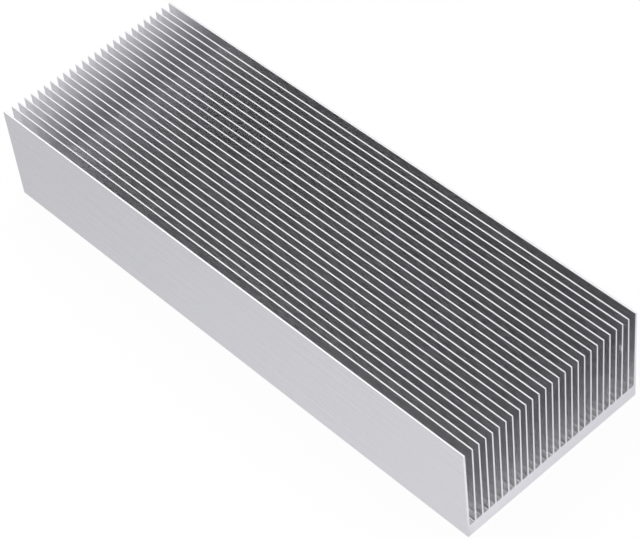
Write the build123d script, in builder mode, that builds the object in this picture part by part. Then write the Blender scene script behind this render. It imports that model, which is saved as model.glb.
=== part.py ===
from build123d import *
import os

os.makedirs("parts", exist_ok=True)

# A finned heat sink: one aluminium extrusion, sawn to length.
# Millimetres. X runs along the fins, Y across them, Z up from the underside of the base.
# The origin is the middle of the underside, the flat face that bears on what is cooled.

# Overall size
length = 200.0
width = 69.0
height = 36.0
base_thickness = 5.0

# Inner fins: thin, slightly thinner at the tip than at the root
fin_pitch = 2.59
fin_tip = 0.47
fin_root = 0.60

# The first and the last inner fin lean inwards: out at the root, in at the tip
end_fin_out = 0.20
end_fin_in = 0.10

# Outer fins: thicker, flush with the sides of the base, tapered on their inner face only
outer_fin_tip = 0.70
outer_fin_root = 0.85
outer_gap_min = 1.90

# Radii of the extrusion die: at the fin roots, at the fin tips and at the section's outer corners.
# The sawn ends of the underside are broken by the last of them too
root_radius = 0.40
tip_radius = 0.12
edge_radius = 0.30

# One fin leans a little at its tip. Counted from the outer fin at -Y, which is number 0
leaning_fin = 8
lean = 0.20

# One fin took a knock on its sawn end at +X, which raised two small burrs on its -Y face.
# Counted from the outer fin at +Y, which is number 0
nicked_fin = 2
nick_drop = 9.9
burr_spacing = 1.15
burr_height = 1.10
burr_reach = 0.50
burr_depth = 0.80

# As many inner fins as the width holds at this pitch, set evenly about the middle
inner_room = width - 2 * (outer_fin_root + outer_gap_min + end_fin_out) - fin_root
inner_fins = int(inner_room / fin_pitch) + 1
first_fin_y = -fin_pitch * (inner_fins - 1) / 2


def fin_y(number):
    """Where the middle of an inner fin stands, with the first inner fin as number 1."""
    return first_fin_y + fin_pitch * (number - 1)


def half_fin(z):
    """Half the thickness of an inner fin at height z."""
    share = (height - z) / (height - base_thickness)
    return (fin_tip + (fin_root - fin_tip) * share) / 2


def outer_fin(side):
    """Outline of an outer fin: side is -1 or 1."""
    outside = side * width / 2
    Polygon(
        (outside, base_thickness / 2),
        (outside, height),
        (outside - side * outer_fin_tip, height),
        (outside - side * outer_fin_root, base_thickness),
        (outside - side * outer_fin_root, base_thickness / 2),
        align=None,
    )


def inner_fin(number):
    """Outline of an inner fin. The first and the last lean inwards, and one more leans at its tip."""
    outward = {1: -1, inner_fins: 1}.get(number, 0)
    root_y = fin_y(number) + outward * end_fin_out
    tip_y = fin_y(number) - outward * end_fin_in
    if number == leaning_fin:
        tip_y += lean
    root, tip = fin_root / 2, fin_tip / 2
    Polygon(
        (root_y - root, base_thickness / 2),
        (root_y - root, base_thickness),
        (tip_y - tip, height),
        (tip_y + tip, height),
        (root_y + root, base_thickness),
        (root_y + root, base_thickness / 2),
        align=None,
    )


with BuildPart() as heat_sink:
    # The die's section: base, two outer fins and the comb of inner fins
    with BuildSketch(Plane.YZ):
        with Locations((0, base_thickness / 2)):
            Rectangle(width, base_thickness)
        for side in (-1, 1):
            outer_fin(side)
        for number in range(1, inner_fins + 1):
            inner_fin(number)
    extrude(amount=length / 2, both=True)

    # The die's radii: small ones along the fin tips, larger ones along the floor of each gap
    lines = heat_sink.edges().filter_by(Axis.X)
    tip_lines = lines.filter_by_position(Axis.Z, height, height).sort_by(Axis.Y)
    fillet(tip_lines[1:-1], radius=tip_radius)
    lines = heat_sink.edges().filter_by(Axis.X)
    floor_lines = lines.filter_by_position(Axis.Z, base_thickness, base_thickness)
    fillet(floor_lines, radius=root_radius)

    # The outer corners: along the tops of the outer fins, and all round the underside
    lines = heat_sink.edges().filter_by(Axis.X)
    top_lines = lines.filter_by_position(Axis.Z, height, height).sort_by(Axis.Y)
    fillet([top_lines[0], top_lines[-1]], radius=edge_radius)
    underside = heat_sink.faces().sort_by(Axis.Z)[0]
    fillet(underside.edges(), radius=edge_radius)

    # The two burrs of the knocked fin
    nicked_y = fin_y(inner_fins + 1 - nicked_fin)
    nick_z = height - nick_drop
    with BuildSketch(Plane.YZ.offset(length / 2)):
        for burr_z in (nick_z - burr_spacing / 2, nick_z + burr_spacing / 2):
            face_y = nicked_y - half_fin(burr_z)
            Polygon(
                (nicked_y, burr_z - burr_height / 2),
                (face_y, burr_z - burr_height / 2),
                (face_y - burr_reach, burr_z),
                (face_y, burr_z + burr_height / 2),
                (nicked_y, burr_z + burr_height / 2),
                align=None,
            )
    extrude(amount=-burr_depth)

heat_sink.part.label = "heat_sink"
export_step(heat_sink.part, "parts/heat_sink.step")
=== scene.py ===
import math

import bpy
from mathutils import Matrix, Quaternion, Vector


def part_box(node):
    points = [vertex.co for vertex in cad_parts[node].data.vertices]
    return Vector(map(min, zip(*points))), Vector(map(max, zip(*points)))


# An extruded aluminium heat sink in a plain white studio.
# X runs along the fins, Y across them, Z up from the underside of the base.
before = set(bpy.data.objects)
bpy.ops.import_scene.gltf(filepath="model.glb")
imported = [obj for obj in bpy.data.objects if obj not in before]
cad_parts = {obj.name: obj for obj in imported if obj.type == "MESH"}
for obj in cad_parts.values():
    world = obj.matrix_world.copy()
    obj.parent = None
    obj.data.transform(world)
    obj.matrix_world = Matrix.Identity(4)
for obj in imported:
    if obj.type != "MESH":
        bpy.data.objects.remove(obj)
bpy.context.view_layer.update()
mm = 0.001

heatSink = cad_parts["heat_sink"]
lowCorner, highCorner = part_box("heat_sink")
print("frame loaded:", len(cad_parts), "node")

# The view: how the camera stands to the sink, worked out from the corners that the photo shows
cameraView = {
    "target": (-1.23, 4.79, 3.65),   # mm, where the middle of the picture looks
    "azimuth": 52.184,               # degrees
    "elevation": 46.973,             # degrees
    "roll": -7.413,                  # degrees, the picture is turned a little
    "distance": 687.8,               # mm
    "lens": 126.45,                  # mm on a 36 mm sensor
    "clip": (0.05, 20),              # m
}


def addCamera(view):
    azimuth = math.radians(view["azimuth"])
    elevation = math.radians(view["elevation"])
    back = Vector((
        math.sin(azimuth) * math.cos(elevation),
        -math.cos(azimuth) * math.cos(elevation),
        math.sin(elevation),
    ))
    camera = bpy.data.objects.new("camera", bpy.data.cameras.new("camera"))
    bpy.context.scene.collection.objects.link(camera)
    camera.data.lens = view["lens"]
    camera.data.clip_start, camera.data.clip_end = view["clip"]
    camera.location = Vector(view["target"]) * mm + back * view["distance"] * mm
    camera.rotation_mode = "QUATERNION"
    turn = Quaternion(back, math.radians(view["roll"]))
    camera.rotation_quaternion = turn @ (-back).to_track_quat("-Z", "Y")
    bpy.context.scene.camera = camera


def toLinear(hexColour):
    channels = []
    for start in (1, 3, 5):
        value = int(hexColour[start:start + 2], 16) / 255
        channels.append(value / 12.92 if value <= 0.04045 else ((value + 0.055) / 1.055) ** 2.4)
    return (*channels, 1.0)


# Sockets go by name, or by number on a Mix node, where several have the same name:
# 0 is the share, 2 and 3 are the two numbers to mix, 6 and 7 the two colours
def addNode(tree, kind, settings=None, links=None):
    node = tree.nodes.new(kind)
    for name, value in (settings or {}).items():
        if isinstance(name, int) or name in node.inputs:
            node.inputs[name].default_value = value
        else:
            setattr(node, name, value)
    for name, source in (links or {}).items():
        tree.links.new(source, node.inputs[name])
    return node


def newMaterial(name):
    material = bpy.data.materials.new(name)
    material.use_nodes = True
    material.node_tree.nodes.clear()
    return material, material.node_tree


def fromTo(span, levels, blend="LINEAR"):
    return {
        "interpolation_type": blend,
        "From Min": span[0],
        "From Max": span[1],
        "To Min": levels[0],
        "To Max": levels[1],
    }


addCamera(cameraView)
print("camera set")

# Mill finish extruded aluminium: bare metal, as it leaves the die. The die draws fine lines along
# the fins, bright ones beside duller ones, so the metal mirrors brightly with a soft haze round it.
millAluminium = {
    "colours": ("#F7F7F7", "#F5F5F6"),
    "patchSize": 9.0,           # mm, how far one tint of the bare metal reaches
    "patchDetail": 2,
    "lineSpacing": 0.05,        # mm, real die lines lie closer, too fine to show
    "lineLength": 83.0,         # mm, how far a line runs before it fades
    "lineDetail": 1,
    "lineEdges": (0.49, 0.55),  # noise level where a bright line turns into a dull one
    "lineRoughness": (0.04, 0.35),
}

# The ends are sawn: an evenly dull cut, with fine marks of the saw teeth that run across the section
sawnEnd = {
    "depth": 0.04,             # mm, how far from the end the cut is told from the fin's side
    "colours": ("#FFFEFF", "#ECEBEC"),
    "roughness": 0.36,
    "markSize": (1.6, 0.35),   # mm, length across the section and width up it
    "markDetail": 2,
    "markHeight": 0.004,       # mm
}


# Noise drawn out to a length in mm along each axis
def stretchedNoise(tree, place, size, detail):
    stretched = addNode(tree, "ShaderNodeMapping", {
        "Scale": [1 / (side * mm) for side in size],
    }, {"Vector": place})
    noise = addNode(tree, "ShaderNodeTexNoise", {"Scale": 1.0, "Detail": detail}, {
        "Vector": stretched.outputs["Vector"],
    })
    return noise.outputs["Fac"]


def makeMillAluminium(finish, cut):
    material, tree = newMaterial("mill finish extruded aluminium")
    place = addNode(tree, "ShaderNodeTexCoord").outputs["Object"]

    lineSize = (finish["lineLength"], finish["lineSpacing"], finish["lineSpacing"])
    lines = stretchedNoise(tree, place, lineSize, finish["lineDetail"])
    lineRange = fromTo(finish["lineEdges"], finish["lineRoughness"])
    dieLines = addNode(tree, "ShaderNodeMapRange", lineRange, {"Value": lines})
    patchSize = [finish["patchSize"]] * 3
    patches = addNode(tree, "ShaderNodeMix", {
        "data_type": "RGBA",
        6: toLinear(finish["colours"][0]),
        7: toLinear(finish["colours"][1]),
    }, {0: stretchedNoise(tree, place, patchSize, finish["patchDetail"])})

    markLength, markWidth = cut["markSize"]
    markSize = (markLength, markLength, markWidth)
    toothMarks = stretchedNoise(tree, place, markSize, cut["markDetail"])
    cutColour = addNode(tree, "ShaderNodeMix", {
        "data_type": "RGBA",
        6: toLinear(cut["colours"][0]),
        7: toLinear(cut["colours"][1]),
    }, {0: toothMarks})

    # The two cuts are the faces at either end of X
    axes = addNode(tree, "ShaderNodeSeparateXYZ", links={"Vector": place})
    fromMiddle = addNode(tree, "ShaderNodeMath", {"operation": "ABSOLUTE"}, {0: axes.outputs["X"]})
    onCut = addNode(tree, "ShaderNodeMath", {
        "operation": "GREATER_THAN",
        1: highCorner.x - cut["depth"] * mm,
    }, {0: fromMiddle.outputs["Value"]}).outputs["Value"]
    colour = addNode(tree, "ShaderNodeMix", {"data_type": "RGBA"}, {
        0: onCut,
        6: patches.outputs[2],
        7: cutColour.outputs[2],
    })
    roughness = addNode(tree, "ShaderNodeMix", {3: cut["roughness"]}, {
        0: onCut,
        2: dieLines.outputs["Result"],
    })
    relief = addNode(tree, "ShaderNodeMath", {"operation": "MULTIPLY"}, {0: toothMarks, 1: onCut})
    bump = addNode(tree, "ShaderNodeBump", {"Distance": cut["markHeight"] * mm}, {
        "Height": relief.outputs["Value"],
    })
    shader = addNode(tree, "ShaderNodeBsdfPrincipled", {"Metallic": 1.0}, {
        "Base Color": colour.outputs[2],
        "Roughness": roughness.outputs[0],
        "Normal": bump.outputs["Normal"],
    })
    addNode(tree, "ShaderNodeOutputMaterial", links={"Surface": shader.outputs["BSDF"]})
    return material


heatSink.data.materials.clear()
heatSink.data.materials.append(makeMillAluminium(millAluminium, sawnEnd))
print("heat sink dressed")

# White paper sweep. The camera sees it white. What the metal mirrors of it is painted light and
# shade:
# it is painted a little darker in front of the long side than beside the near end, with a painted
# shadow of the sink behind the far end, and painted darker away from the camera. Each stop is a
# place along X in mm and how bright the mirrored paper is painted there.
paper = {
    "colour": "#FFFFFF",
    "mirroredColour": "#F9F9FF",
    "size": 6.0,                    # m
    "shadow": 0.08,                 # how much of the sink's shadow shows on the white
    # Painted light and shade that only the metal mirrors: darker in front, a painted shadow behind
    # the far end, brighter beside the near end
    "paintedFrontGlow": ((-150, 0.61), (120, 0.715)),
    "paintedRestGlow": ((-150, 0.74), (-100, 0.28), (100, 0.83), (114, 1.0)),
    "sideStep": 3.5,                # mm, from the front of the side into the rest
    "paintedAwayGlow": (1.0, 0.88),        # from the -Y side to the +Y side
    "awaySpan": (-40, 60),          # mm
}

# A pale room that is brighter on the +Y side, with one soft light above and behind the far end
room = {
    "colour": "#FCFCFF",
    "horizon": 0.72,
    "top": 0.80,
    "topFrom": 0.6,                 # how high the full light starts, as a share of straight up
    "sideLight": (0.8, 1.2),        # from the -Y side to the +Y side
    "sideSpan": 0.42,               # how far to each side that goes, as a share of straight out
    "softLightPlace": (-0.65, 0.0, 1.0),  # m
    "softLightSize": 0.6,           # m
    "softLightPower": 1.2,          # W
}


def stopsAlong(tree, value, stops):
    start, end = stops[0][0], stops[-1][0]
    along = fromTo((start * mm, end * mm), (0, 1))
    share = addNode(tree, "ShaderNodeMapRange", along, {"Value": value})
    ramp = addNode(tree, "ShaderNodeValToRGB", links={"Fac": share.outputs["Result"]})
    ramp.color_ramp.interpolation = "EASE"
    elements = ramp.color_ramp.elements
    for stop in stops[1:-1]:
        elements.new((stop[0] - start) / (end - start))
    for element, stop in zip(elements, stops):
        element.color = (stop[1], stop[1], stop[1], 1.0)
    return ramp.outputs["Color"]


def addPaper(setup):
    bpy.ops.object.select_all(action="DESELECT")
    bpy.ops.mesh.primitive_plane_add(size=setup["size"], location=(0, 0, lowCorner.z))
    floor = bpy.context.object
    floor.name = "paper"
    material, tree = newMaterial("white paper sweep")
    path = addNode(tree, "ShaderNodeLightPath")
    place = addNode(tree, "ShaderNodeTexCoord")
    axes = addNode(tree, "ShaderNodeSeparateXYZ", links={"Vector": place.outputs["Object"]})

    # Painted light and shade on the paper as the metal mirrors it: shade in front of the long side
    # and towards +Y, the sink's shadow behind the far end, light beside the near end
    besideSpan = (lowCorner.y, lowCorner.y + setup["sideStep"] * mm)
    beside = addNode(tree, "ShaderNodeMapRange", fromTo(besideSpan, (0, 1), "SMOOTHSTEP"), {
        "Value": axes.outputs["Y"],
    })
    awaySpan = [end * mm for end in setup["awaySpan"]]
    away = addNode(tree, "ShaderNodeMapRange", fromTo(awaySpan, setup["paintedAwayGlow"], "SMOOTHSTEP"), {
        "Value": axes.outputs["Y"],
    })
    rest = addNode(tree, "ShaderNodeMath", {"operation": "MULTIPLY"}, {
        0: stopsAlong(tree, axes.outputs["X"], setup["paintedRestGlow"]),
        1: away.outputs["Result"],
    })
    paintedGlow = addNode(tree, "ShaderNodeMix", links={
        0: beside.outputs["Result"],
        2: stopsAlong(tree, axes.outputs["X"], setup["paintedFrontGlow"]),
        3: rest.outputs["Value"],
    })

    lit = addNode(tree, "ShaderNodeBsdfDiffuse", {"Color": toLinear(setup["colour"])})
    white = addNode(tree, "ShaderNodeEmission", {"Strength": 1.0})
    # Glossy rays see the paper glow with this painted brightness, a painted reflection in place of
    # the lit paper
    mirrored = addNode(tree, "ShaderNodeEmission", {"Color": toLinear(setup["mirroredColour"])}, {
        "Strength": paintedGlow.outputs[0],
    })
    seen = addNode(tree, "ShaderNodeMixShader", {0: 1 - setup["shadow"]}, {
        1: lit.outputs["BSDF"],
        2: white.outputs["Emission"],
    })
    toCamera = addNode(tree, "ShaderNodeMixShader", links={
        0: path.outputs["Is Camera Ray"],
        1: lit.outputs["BSDF"],
        2: seen.outputs["Shader"],
    })
    toMetal = addNode(tree, "ShaderNodeMixShader", links={
        0: path.outputs["Is Glossy Ray"],
        1: toCamera.outputs["Shader"],
        2: mirrored.outputs["Emission"],
    })
    addNode(tree, "ShaderNodeOutputMaterial", links={"Surface": toMetal.outputs["Shader"]})
    floor.data.materials.append(material)


def addRoom(setup):
    world = bpy.data.worlds.new("room")
    bpy.context.scene.world = world
    world.use_nodes = True
    tree = world.node_tree
    tree.nodes.clear()
    path = addNode(tree, "ShaderNodeLightPath")
    direction = addNode(tree, "ShaderNodeTexCoord")
    axes = addNode(tree, "ShaderNodeSeparateXYZ", links={"Vector": direction.outputs["Generated"]})

    upSpan, upLevels = (0, setup["topFrom"]), (setup["horizon"], setup["top"])
    height = addNode(tree, "ShaderNodeMapRange", fromTo(upSpan, upLevels, "SMOOTHSTEP"), {
        "Value": axes.outputs["Z"],
    })
    sideSpan = (-setup["sideSpan"], setup["sideSpan"])
    side = addNode(tree, "ShaderNodeMapRange", fromTo(sideSpan, setup["sideLight"], "SMOOTHSTEP"), {
        "Value": axes.outputs["Y"],
    })
    light = addNode(tree, "ShaderNodeMath", {"operation": "MULTIPLY"}, {
        0: height.outputs["Result"],
        1: side.outputs["Result"],
    })

    walls = addNode(tree, "ShaderNodeBackground", {"Color": toLinear(setup["colour"])}, {
        "Strength": light.outputs["Value"],
    })
    white = addNode(tree, "ShaderNodeBackground", {"Color": (1, 1, 1, 1), "Strength": 1.0})
    mix = addNode(tree, "ShaderNodeMixShader", links={
        0: path.outputs["Is Glossy Ray"],
        1: white.outputs["Background"],
        2: walls.outputs["Background"],
    })
    addNode(tree, "ShaderNodeOutputWorld", links={"Surface": mix.outputs["Shader"]})


def addSoftLight(setup):
    data = bpy.data.lights.new("soft light", "AREA")
    data.shape = "SQUARE"
    data.size = setup["softLightSize"]
    data.energy = setup["softLightPower"]
    lamp = bpy.data.objects.new("soft light", data)
    bpy.context.scene.collection.objects.link(lamp)
    lamp.location = setup["softLightPlace"]
    lamp.rotation_mode = "QUATERNION"
    lamp.rotation_quaternion = (-Vector(setup["softLightPlace"])).to_track_quat("-Z", "Y")
    lamp.visible_camera = False


addPaper(paper)
addRoom(room)
addSoftLight(room)
print("studio set")

# Light takes about twenty bounces down a gap and out again
lightBounces = 32
scene = bpy.context.scene
scene.view_settings.view_transform = "Standard"
scene.cycles.max_bounces = lightBounces
scene.cycles.glossy_bounces = lightBounces
